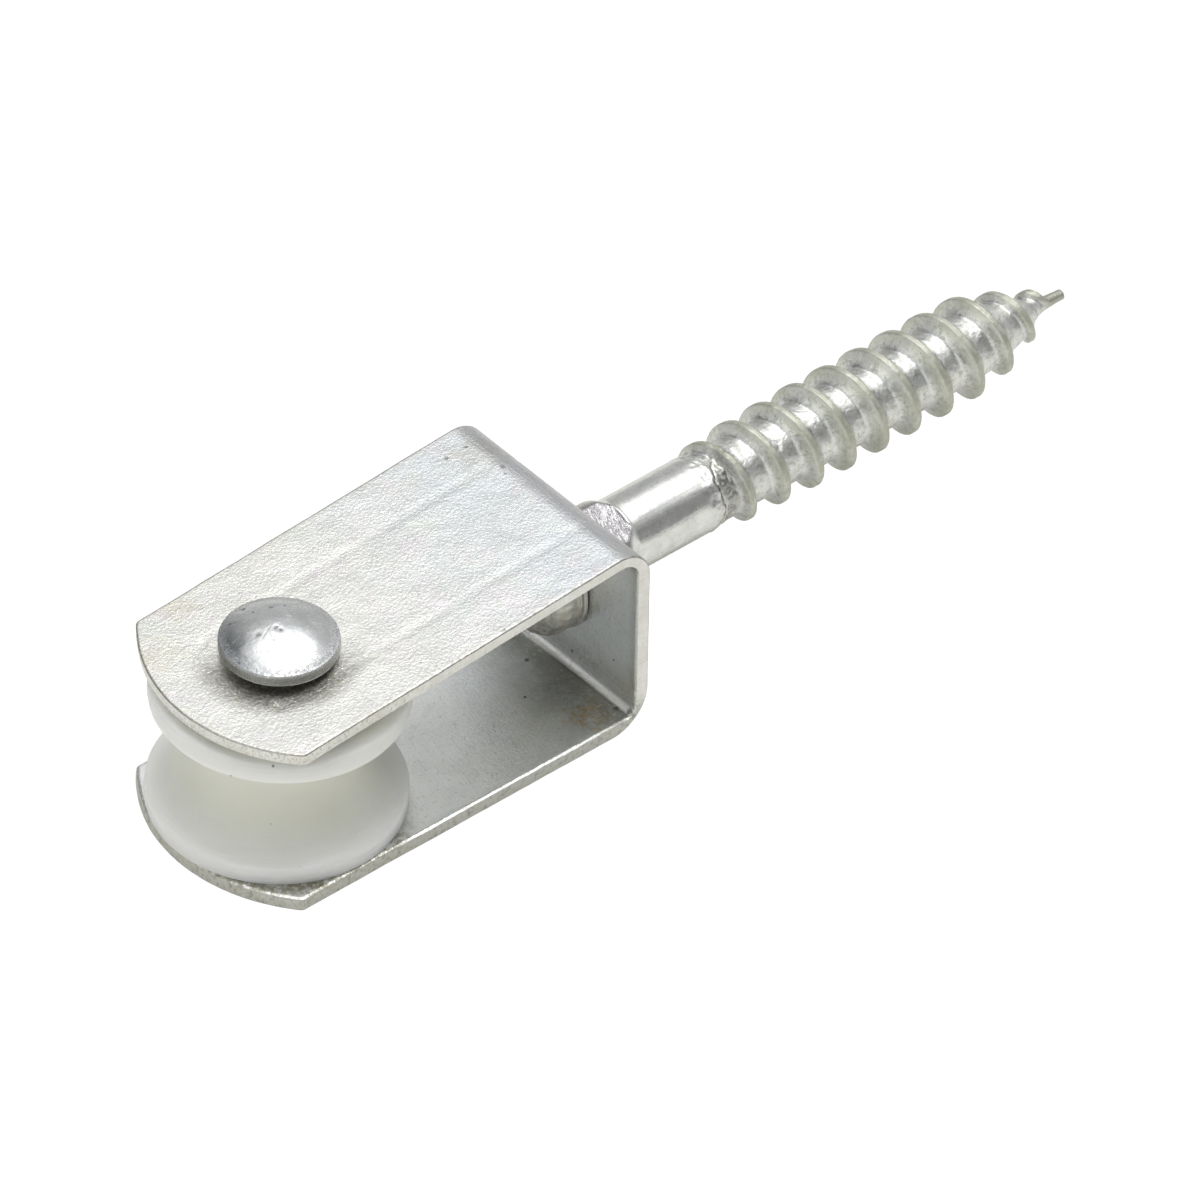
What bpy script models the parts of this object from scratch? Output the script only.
"""Sliding door roller: a grooved plastic wheel on a riveted axle in a bent steel fork, with a wood screw riveted
through the fork's base.

Frame: the origin is on the wheel's axle, in the plane of the flat end of the axle rivet's tail. +Z runs along the
axle towards the rivet's domed head, +X runs along the wood screw towards its point, and Y is across the fork's arms.
Units are metres; tables marked so are in mm.
"""

import math

import bmesh
import bpy
import numpy as np
from mathutils import Vector

MM = 0.001

# ---- shared dimensions --------------------------------------------------------------------------
TAIL_PROUD = 1.3 * MM        # how far the rivet's tail stands below the lower arm
SHEET = 1.5 * MM
FORK_HEIGHT = 22.7 * MM      # over both arms, at the base
BASE_OUTER_X = 35.8 * MM     # axle to the base's outer face
GAP = 0.3 * MM               # between pieces that rest on each other

FORK_LOW_Z = TAIL_PROUD
FORK_HIGH_Z = FORK_LOW_Z + FORK_HEIGHT
SCREW_Z = FORK_LOW_Z + FORK_HEIGHT / 2
ALONG_X = (0.0, math.pi / 2, 0.0)   # rotation that lays a piece's own Z axis along +X


# ---- helpers ------------------------------------------------------------------------------------
def clear_scene():
    for obj in list(bpy.data.objects):
        bpy.data.objects.remove(obj, do_unlink=True)


def collection(name):
    group = bpy.data.collections.new(name)
    bpy.context.scene.collection.children.link(group)
    return group


def material(name, colour, metallic, roughness):
    result = bpy.data.materials.new(name)
    result.use_nodes = True
    shader = result.node_tree.nodes["Principled BSDF"]
    shader.inputs["Base Color"].default_value = (*colour, 1.0)
    shader.inputs["Metallic"].default_value = metallic
    shader.inputs["Roughness"].default_value = roughness
    return result


def mesh_object(name, mesh, group, finish=None):
    obj = bpy.data.objects.new(name, mesh)
    group.objects.link(obj)
    if finish:
        mesh.materials.append(finish)
    return obj


def mesh_from(shape, name):
    """Turn a bmesh into a mesh and free it."""
    mesh = bpy.data.meshes.new(name)
    shape.to_mesh(mesh)
    shape.free()
    return mesh


def as_cutter(obj):
    obj.hide_render = True
    obj.display_type = "WIRE"
    return obj


def boolean(obj, other, operation):
    modifier = obj.modifiers.new(operation.title() + "_" + other.name, "BOOLEAN")
    modifier.operation = operation
    modifier.solver = "EXACT"
    modifier.object = other


def arc(centre, radius, start, end, steps):
    """Points on an arc, both ends included, angles in radians."""
    angles = [start + (end - start) * i / steps for i in range(steps + 1)]
    return [(centre[0] + radius * math.cos(angle), centre[1] + radius * math.sin(angle))
            for angle in angles]


def turned(name, profile, steps, group, finish=None, start=0.0):
    """A solid of revolution about its own Z axis from (radius, z) points.

    The profile starts and ends on the axis, or else is closed into a ring.
    """
    count = len(profile)
    edges = [(i, i + 1) for i in range(count - 1)]
    if profile[0][0] > 1e-9:
        edges.append((count - 1, 0))
    mesh = bpy.data.meshes.new(name)
    points = [(radius * math.cos(start), radius * math.sin(start), z) for radius, z in profile]
    mesh.from_pydata(points, edges, [])
    obj = mesh_object(name, mesh, group, finish)
    turn = obj.modifiers.new("Turn", "SCREW")
    turn.axis = "Z"
    turn.angle = 2 * math.pi
    turn.steps = steps
    turn.render_steps = steps
    turn.use_merge_vertices = True
    turn.merge_threshold = 0.00001
    turn.use_smooth_shade = True
    return obj


def drill(name, radius, depth, location, group, rotation=(0.0, 0.0, 0.0)):
    """A cylinder centred on the location, to cut a round hole."""
    shape = bmesh.new()
    bmesh.ops.create_cone(shape, cap_ends=True, segments=48, radius1=radius, radius2=radius,
                          depth=depth)
    obj = mesh_object(name, mesh_from(shape, name), group)
    obj.location = location
    obj.rotation_euler = rotation
    return as_cutter(obj)


def prism(name, outline, low, high, group):
    """A flat outline in X and Y, as a filled 2D curve made into a closed mesh, between two heights."""
    curve = bpy.data.curves.new(name, "CURVE")
    curve.dimensions = "2D"
    curve.fill_mode = "BOTH"
    curve.extrude = (high - low) / 2
    spline = curve.splines.new("POLY")
    spline.points.add(len(outline) - 1)
    for point, (x, y) in zip(spline.points, outline):
        point.co = (x, y, 0.0, 1.0)
    spline.use_cyclic_u = True
    source = bpy.data.objects.new(name + "_outline", curve)
    bpy.context.scene.collection.objects.link(source)
    bpy.context.view_layer.update()
    evaluated = source.evaluated_get(bpy.context.evaluated_depsgraph_get())
    mesh = bpy.data.meshes.new_from_object(evaluated)
    bpy.data.objects.remove(source, do_unlink=True)
    # weld the caps to the sides
    shape = bmesh.new()
    shape.from_mesh(mesh)
    bmesh.ops.remove_doubles(shape, verts=shape.verts, dist=0.00001)
    bmesh.ops.recalc_face_normals(shape, faces=shape.faces)
    shape.to_mesh(mesh)
    shape.free()
    obj = mesh_object(name, mesh, group)
    obj.location = (0.0, 0.0, (low + high) / 2)
    return as_cutter(obj)


# ---- fork: one strip bent into a U lying on its side --------------------------------------------
STRIP_WIDTH = 25.0 * MM
ARM_PINCH = math.radians(3.9)   # the upper arm leans in towards its tip
BEND_LOW = 4.6 * MM             # outer bend radii
BEND_HIGH = 3.8 * MM
TIP_ARC_RADIUS = 18.75 * MM     # convex end of both arms
TIP_ARC_CENTRE_X = 6.67 * MM
TIP_CORNER = 0.8 * MM
EDGE_BREAK = 0.18 * MM
HOLE_HIGH_R = 3.15 * MM         # axle hole on the head's side
HOLE_HIGH_Z = 21.0 * MM         # middle of its drill, near the leaning arm
HOLE_LOW_R = 2.65 * MM          # axle hole on the tail's side
SCREW_HOLE_R = 4.12 * MM        # the screw's shank passes through the base at full size

# the untrimmed strip overshoots the plan that trims it, and the plan overshoots the base
BLANK_END_X = -16.0 * MM
BLANK_MARGIN = 2.0 * MM         # on each side of the strip
PLAN_END_X = 45.0 * MM
PLAN_LOW_Z = -5.0 * MM
PLAN_HIGH_Z = 35.0 * MM


def fork_outline():
    """The strip's outer side in X and Z, from the lower arm's end round the base to the upper's."""
    points = [(BLANK_END_X, FORK_LOW_Z)]
    points += arc((BASE_OUTER_X - BEND_LOW, FORK_LOW_Z + BEND_LOW), BEND_LOW,
                  -math.pi / 2, 0.0, steps=8)
    # the base's line and the pinched arm's line would meet at (BASE_OUTER_X, FORK_HIGH_Z)
    turn = math.pi / 2 + ARM_PINCH
    set_back = BEND_HIGH * math.tan(turn / 2)
    points += arc((BASE_OUTER_X - BEND_HIGH, FORK_HIGH_Z - set_back), BEND_HIGH,
                  0.0, turn, steps=9)
    drop = (BASE_OUTER_X - BLANK_END_X) * math.tan(ARM_PINCH)
    points.append((BLANK_END_X, FORK_HIGH_Z - drop))
    return points


def arm_plan():
    """The arms seen from above: straight sides, a convex end and small rounded corners."""
    half = STRIP_WIDTH / 2
    # the corner's small arc touches the side and lies inside the end's arc
    corner_y = half - TIP_CORNER
    corner_back = math.sqrt((TIP_ARC_RADIUS - TIP_CORNER) ** 2 - corner_y ** 2)
    corner_x = TIP_ARC_CENTRE_X - corner_back
    # direction from the end arc's centre to the corner on the +Y side
    lean = math.atan2(corner_y, -corner_back)
    points = [(PLAN_END_X, -half), (PLAN_END_X, half)]
    points += arc((corner_x, corner_y), TIP_CORNER, math.pi / 2, lean, steps=4)
    points += arc((TIP_ARC_CENTRE_X, 0.0), TIP_ARC_RADIUS,
                  lean, 2 * math.pi - lean, steps=22)[1:-1]
    points += arc((corner_x, -corner_y), TIP_CORNER, 2 * math.pi - lean, 1.5 * math.pi, steps=4)
    return points


def strip_surface():
    """The strip's outer surface, without thickness and wider than the finished strip."""
    path = fork_outline()
    reach = STRIP_WIDTH / 2 + BLANK_MARGIN
    shape = bmesh.new()
    near, far = [[shape.verts.new((x, y, z)) for x, z in path] for y in (-reach, reach)]
    for i in range(len(path) - 1):
        shape.faces.new((near[i], near[i + 1], far[i + 1], far[i]))
    bmesh.ops.recalc_face_normals(shape, faces=shape.faces)
    mesh = mesh_from(shape, "u_bracket")
    # the surface is open, so its normals may come out either way: turn the base's to face +X
    outward = sum(face.normal.x * face.area for face in mesh.polygons if abs(face.normal.x) > 0.7)
    if outward < 0:
        mesh.flip_normals()
    return mesh


def make_fork(group, cutters, finish):
    fork = mesh_object("u_bracket", strip_surface(), group, finish)
    sheet = fork.modifiers.new("Sheet", "SOLIDIFY")
    sheet.thickness = SHEET
    sheet.offset = -1.0
    sheet.use_even_offset = True
    boolean(fork, prism("arm_plan", arm_plan(), PLAN_LOW_Z, PLAN_HIGH_Z, cutters), "INTERSECT")
    holes = (
        drill("axle_hole_high", HOLE_HIGH_R, 8 * MM, (0, 0, HOLE_HIGH_Z), cutters),
        drill("axle_hole_low", HOLE_LOW_R, 6 * MM, (0, 0, FORK_LOW_Z), cutters),
        drill("screw_hole", SCREW_HOLE_R, 8 * MM, (BASE_OUTER_X, 0, SCREW_Z), cutters, ALONG_X),
    )
    for hole in holes:
        boolean(fork, hole, "DIFFERENCE")
    edge = fork.modifiers.new("Edge", "BEVEL")
    edge.width = EDGE_BREAK
    edge.segments = 1
    edge.limit_method = "ANGLE"
    edge.angle_limit = math.radians(50)
    edge.use_clamp_overlap = True


# ---- wheel: a sheave with a deep round groove ---------------------------------------------------
WHEEL_R = 12.7 * MM
WHEEL_WIDTH = 15.5 * MM
WHEEL_Z = 11.0 * MM          # its middle plane
BORE_R = 3.06 * MM
HUB_PROUD = 0.15 * MM
HUB_R = 5.4 * MM
WEB_DEPTH = 0.8 * MM         # shallow recess between hub and rim
WEB_INNER_R = 6.2 * MM
WEB_OUTER_R = 9.6 * MM
WEB_SLOPE = 0.9 * MM         # radial run of the recess's outer wall
RIM_ROUND = 0.5 * MM
GROOVE_HALF_WIDTH = 5.65 * MM
GROOVE_WAIST_R = 8.4 * MM
GROOVE_SHARE = 0.965         # the part of the groove's arc that is kept, short of the lips
LIP_ROUND = 0.35 * MM        # small round between the rim band and the groove
LIP_INSET = 0.1 * MM         # its middle point, inside the rim ...
LIP_OFFSET = 0.08 * MM       # ... and outside the groove's half width


def wheel_profile():
    """(radius, z) from the bore over the upper side, down the rim and groove, and back to the bore."""
    half = WHEEL_WIDTH / 2
    depth = WHEEL_R - GROOVE_WAIST_R
    groove_r = (GROOVE_HALF_WIDTH ** 2 + depth ** 2) / (2 * depth)
    sweep = math.asin(GROOVE_HALF_WIDTH / groove_r) * GROOVE_SHARE
    upper = [(BORE_R, half + HUB_PROUD), (HUB_R, half + HUB_PROUD),
             (WEB_INNER_R, half - WEB_DEPTH), (WEB_OUTER_R, half - WEB_DEPTH),
             (WEB_OUTER_R + WEB_SLOPE, half)]
    upper += arc((WHEEL_R - RIM_ROUND, half - RIM_ROUND), RIM_ROUND, math.pi / 2, 0.0, steps=3)
    upper += [(WHEEL_R, GROOVE_HALF_WIDTH + LIP_ROUND),
              (WHEEL_R - LIP_INSET, GROOVE_HALF_WIDTH + LIP_OFFSET)]
    groove = arc((GROOVE_WAIST_R + groove_r, 0.0), groove_r,
                 math.pi - sweep, math.pi + sweep, steps=12)
    lower = [(radius, -z) for radius, z in reversed(upper)]
    return upper + groove + lower


def make_wheel(group, finish):
    wheel = turned("grooved_wheel", wheel_profile(), 60, group, finish)
    axis = bpy.data.objects.new("wheel_axis", None)
    group.objects.link(axis)
    axis.location = (0.0, 0.0, WHEEL_Z)
    wheel.parent = axis


# ---- axle rivet ---------------------------------------------------------------------------------
AXLE_R = 3.0 * MM
TAIL_NECK_R = 2.35 * MM
HEAD_R = 5.85 * MM
HEAD_UNDER_Z = 22.31 * MM
HEAD_BAND = 1.2 * MM         # height of the head's side, below the dome
HEAD_DOME = 1.7 * MM
DOME_INSET = 0.12 * MM       # the dome starts this far in from the side ...
DOME_DROP = 0.25 * MM        # ... and the side this far below the dome
HEAD_CHAMFER = 0.3 * MM      # under the head
TAIL_R = 4.5 * MM
TAIL_TOP_INSET = 0.2 * MM    # slope at the tail's upper edge: inwards and down
TAIL_TOP_DROP = 0.25 * MM
# rounded lower edge of the tail, in mm: (inset from TAIL_R, z)
TAIL_EDGE = [(0.1, 0.4), (0.55, 0.1), (0.9, 0.0)]


def rivet_profile():
    """(radius, z) from the crown of the domed head down to the flat end of the tail."""
    shoulder_z = FORK_LOW_Z + SHEET + GAP
    tail_top_z = FORK_LOW_Z - GAP
    rim_z = HEAD_UNDER_Z + HEAD_BAND
    cap_r = HEAD_R - DOME_INSET
    dome_r = (cap_r ** 2 + HEAD_DOME ** 2) / (2 * HEAD_DOME)
    sweep = math.asin(cap_r / dome_r)
    steps = 8
    points = []
    for i in range(steps + 1):
        angle = sweep * i / steps
        drop = dome_r * (1 - math.cos(angle))
        points.append((dome_r * math.sin(angle), rim_z + HEAD_DOME - drop))
    points += [(HEAD_R, rim_z - DOME_DROP), (HEAD_R, HEAD_UNDER_Z + HEAD_CHAMFER),
               (HEAD_R - HEAD_CHAMFER, HEAD_UNDER_Z), (AXLE_R, HEAD_UNDER_Z),
               (AXLE_R, shoulder_z), (TAIL_NECK_R, shoulder_z), (TAIL_NECK_R, tail_top_z),
               (TAIL_R - TAIL_TOP_INSET, tail_top_z), (TAIL_R, tail_top_z - TAIL_TOP_DROP)]
    points += [(TAIL_R - inset * MM, z * MM) for inset, z in TAIL_EDGE]
    points.append((0.0, 0.0))
    return points


def make_rivet(group, finish):
    turned("axle_rivet", rivet_profile(), 40, group, finish)


# ---- wood screw ---------------------------------------------------------------------------------
SCREW_STEPS = 40
SHANK_R = 3.95 * MM
TIP_X = 99.9 * MM
TIP_FLAT_R = 0.3 * MM        # the blunt point's first ring ...
TIP_FLAT_DROP = 0.08 * MM    # ... and its distance back from the tip
RIVETED_HEAD_R = 5.5 * MM
RIVETED_HEAD_T = 4.6 * MM
RIVETED_FACE_INSET = 3.2 * MM   # from the head's radius to its flat end face
# side of the riveted head, in mm: (inset from RIVETED_HEAD_R, distance from its seat)
# a low collar, then nearly straight, rounded towards the middle of the fork
RIVETED_SIDE = [(0.2, 0.0), (0.0, 0.25), (0.0, 0.55), (0.3, 0.75), (0.25, 2.4), (0.7, 3.6),
                (1.7, 4.35)]

# grip: a squeezed band of the shank beside the base, with two opposite flats
GRIP_START_X = 36.15 * MM    # just clear of the base
GRIP_END_X = 42.3 * MM
GRIP_DISTANCE = 3.55 * MM    # from the screw's axis to each flat
GRIP_ANGLE = math.radians(102)  # of the upper flat's normal, from +Y towards +Z
GRIP_EAR = 0.45 * MM         # how far the band stands out past the shank beside the flats
FLAT_LEAD = 0.15 * MM        # the flats start this far before the band ...
FLAT_SHORTFALL = 0.6 * MM    # ... and end this far before its end
FLAT_BLOCK = 12.0 * MM       # width and height of the block that cuts a flat
# (share of the band's length, share of GRIP_EAR)
GRIP_SWELL = [(1.0, -0.12), (0.86, 0.35), (0.7, 1.0), (0.12, 1.0), (0.0, 0.75)]

# radius of the screw's core along X, and of its thread's crest, in mm: (x, radius)
CORE = [(52.4, 3.95), (53.4, 3.72), (58.0, 3.62), (66.0, 3.56), (84.0, 3.52), (87.8, 3.39),
        (90.0, 3.02), (92.2, 2.5), (94.0, 1.85), (95.0, 1.3), (95.8, 0.92), (96.8, 0.68),
        (98.2, 0.58), (99.5, 0.52)]
CREST = [(51.9, 3.72), (52.9, 4.28), (54.7, 4.62), (58.0, 4.87), (64.6, 5.05), (71.0, 5.12),
         (83.3, 5.07), (87.4, 4.98), (89.2, 4.5), (91.2, 3.92), (93.5, 2.9), (96.0, 2.1),
         (97.0, 0.62)]

THREAD_PITCH = 4.15 * MM
THREAD_REF_X = 73.0 * MM     # a crest lies here ...
THREAD_REF_ANGLE = math.radians(220.7)  # ... at this angle from +Y towards +Z
THREAD_START_X = CREST[0][0] * MM
THREAD_END_X = CREST[-1][0] * MM
THREAD_LAND = 0.36 * MM      # width of the crest
THREAD_FLANK = math.radians(33)
THREAD_SINK = 0.35 * MM      # depth of the ridge's foot in the core
THREAD_STEPS_PER_TURN = 24


def radius_at(table, x):
    """Radius in metres at x in metres, from a table of (x, radius) in mm, held past its ends."""
    stations, radii = zip(*table)
    return float(np.interp(x / MM, stations, radii)) * MM


def screw_profile():
    """(radius, distance along X) of the screw without its thread, from point to riveted head."""
    seat = BASE_OUTER_X - SHEET - GAP
    end = seat - RIVETED_HEAD_T
    points = [(0.0, TIP_X), (TIP_FLAT_R, TIP_X - TIP_FLAT_DROP)]
    points += [(radius * MM, x * MM) for x, radius in reversed(CORE)]
    points.append((SHANK_R, seat))
    points += [(RIVETED_HEAD_R - inset * MM, seat - back * MM) for inset, back in RIVETED_SIDE]
    points += [(RIVETED_HEAD_R - RIVETED_FACE_INSET, end), (0.0, end)]
    return points


def thread_angle(x):
    """Angle about the screw's own Z axis of the thread's crest at distance x: right-handed.

    The quarter turn leads from the world's +Y to the screw's own X axis.
    """
    return THREAD_REF_ANGLE + math.pi / 2 + 2 * math.pi * (x - THREAD_REF_X) / THREAD_PITCH


def make_thread(group):
    """The ridge round the core: a tapered section swept along a helix, sunk a little into it."""
    length = THREAD_END_X - THREAD_START_X
    count = int(round(length / THREAD_PITCH * THREAD_STEPS_PER_TURN))
    shape = bmesh.new()
    rings = []
    for i in range(count + 1):
        x = THREAD_START_X + length * i / count
        angle = thread_angle(x)
        crest = radius_at(CREST, x)
        foot = radius_at(CORE, x) - THREAD_SINK
        half_land = THREAD_LAND / 2
        half_foot = half_land + (crest - foot) * math.tan(THREAD_FLANK)
        out = Vector((math.cos(angle), math.sin(angle), 0.0))
        section = ((foot, -half_foot), (crest, -half_land), (crest, half_land), (foot, half_foot))
        rings.append([shape.verts.new(out * radius + Vector((0.0, 0.0, x + shift)))
                      for radius, shift in section])
    for ring, following in zip(rings, rings[1:]):
        for k in range(4):
            after = (k + 1) % 4
            shape.faces.new((ring[k], ring[after], following[after], following[k]))
    shape.faces.new(rings[0])
    shape.faces.new(list(reversed(rings[-1])))
    bmesh.ops.recalc_face_normals(shape, faces=shape.faces)
    return as_cutter(mesh_object("thread_ridge", mesh_from(shape, "thread_ridge"), group))


def make_grip_swell(group):
    """The round band that stands out past the shank and is left as ears beside the flats."""
    length = GRIP_END_X - GRIP_START_X
    band = [(SHANK_R + GRIP_EAR * swell, GRIP_START_X + length * share)
            for share, swell in GRIP_SWELL]
    profile = [(0.0, band[0][1])] + band + [(0.0, band[-1][1])]
    # half a facet's turn keeps the swell's facets off the shank's
    half_facet = math.pi / SCREW_STEPS
    return as_cutter(turned("grip_swell", profile, SCREW_STEPS, group, start=half_facet))


def make_grip_flat(name, angle, group):
    """A block that cuts one flat, its normal at this angle from +Y towards +Z."""
    start = GRIP_START_X - FLAT_LEAD
    length = GRIP_END_X - FLAT_SHORTFALL - start
    shape = bmesh.new()
    bmesh.ops.create_cube(shape, size=1.0)
    bmesh.ops.scale(shape, verts=shape.verts, vec=(length, FLAT_BLOCK, FLAT_BLOCK))
    obj = mesh_object(name, mesh_from(shape, name), group)
    centre = GRIP_DISTANCE + FLAT_BLOCK / 2
    obj.location = (start + length / 2, centre * math.cos(angle),
                    SCREW_Z + centre * math.sin(angle))
    obj.rotation_euler = (angle, 0.0, 0.0)
    return as_cutter(obj)


def make_screw(group, cutters, finish):
    screw = turned("wood_screw", screw_profile(), SCREW_STEPS, group, finish)
    ridge = make_thread(cutters)
    swell = make_grip_swell(cutters)
    for obj in (screw, ridge, swell):
        obj.location = (0.0, 0.0, SCREW_Z)
        obj.rotation_euler = ALONG_X
    boolean(screw, ridge, "UNION")
    boolean(screw, swell, "UNION")
    for name, angle in (("grip_flat_upper", GRIP_ANGLE), ("grip_flat_lower", GRIP_ANGLE + math.pi)):
        boolean(screw, make_grip_flat(name, angle, cutters), "DIFFERENCE")


# ---- assembly -----------------------------------------------------------------------------------
def smooth(obj):
    """Smooth shading, with the sharp edges kept."""
    obj.data.shade_smooth()
    obj.data.set_sharp_from_angle(angle=math.radians(32))


def main():
    clear_scene()
    parts = collection("sliding_door_roller")
    cutters = collection("cutters")
    zinc = material("zinc_plated_sheet", colour=(0.80, 0.81, 0.82), metallic=1.0, roughness=0.34)
    steel = material("polished_zinc_rivet", colour=(0.72, 0.73, 0.74), metallic=1.0, roughness=0.2)
    plating = material("zinc_plated_screw", colour=(0.74, 0.74, 0.68), metallic=1.0,
                       roughness=0.26)
    nylon = material("milky_nylon", colour=(0.83, 0.84, 0.80), metallic=0.0, roughness=0.38)
    make_fork(parts, cutters, zinc)
    make_wheel(parts, nylon)
    make_rivet(parts, steel)
    make_screw(parts, cutters, plating)
    for obj in parts.objects:
        if obj.type == "MESH":
            smooth(obj)
    bpy.context.view_layer.update()


main()
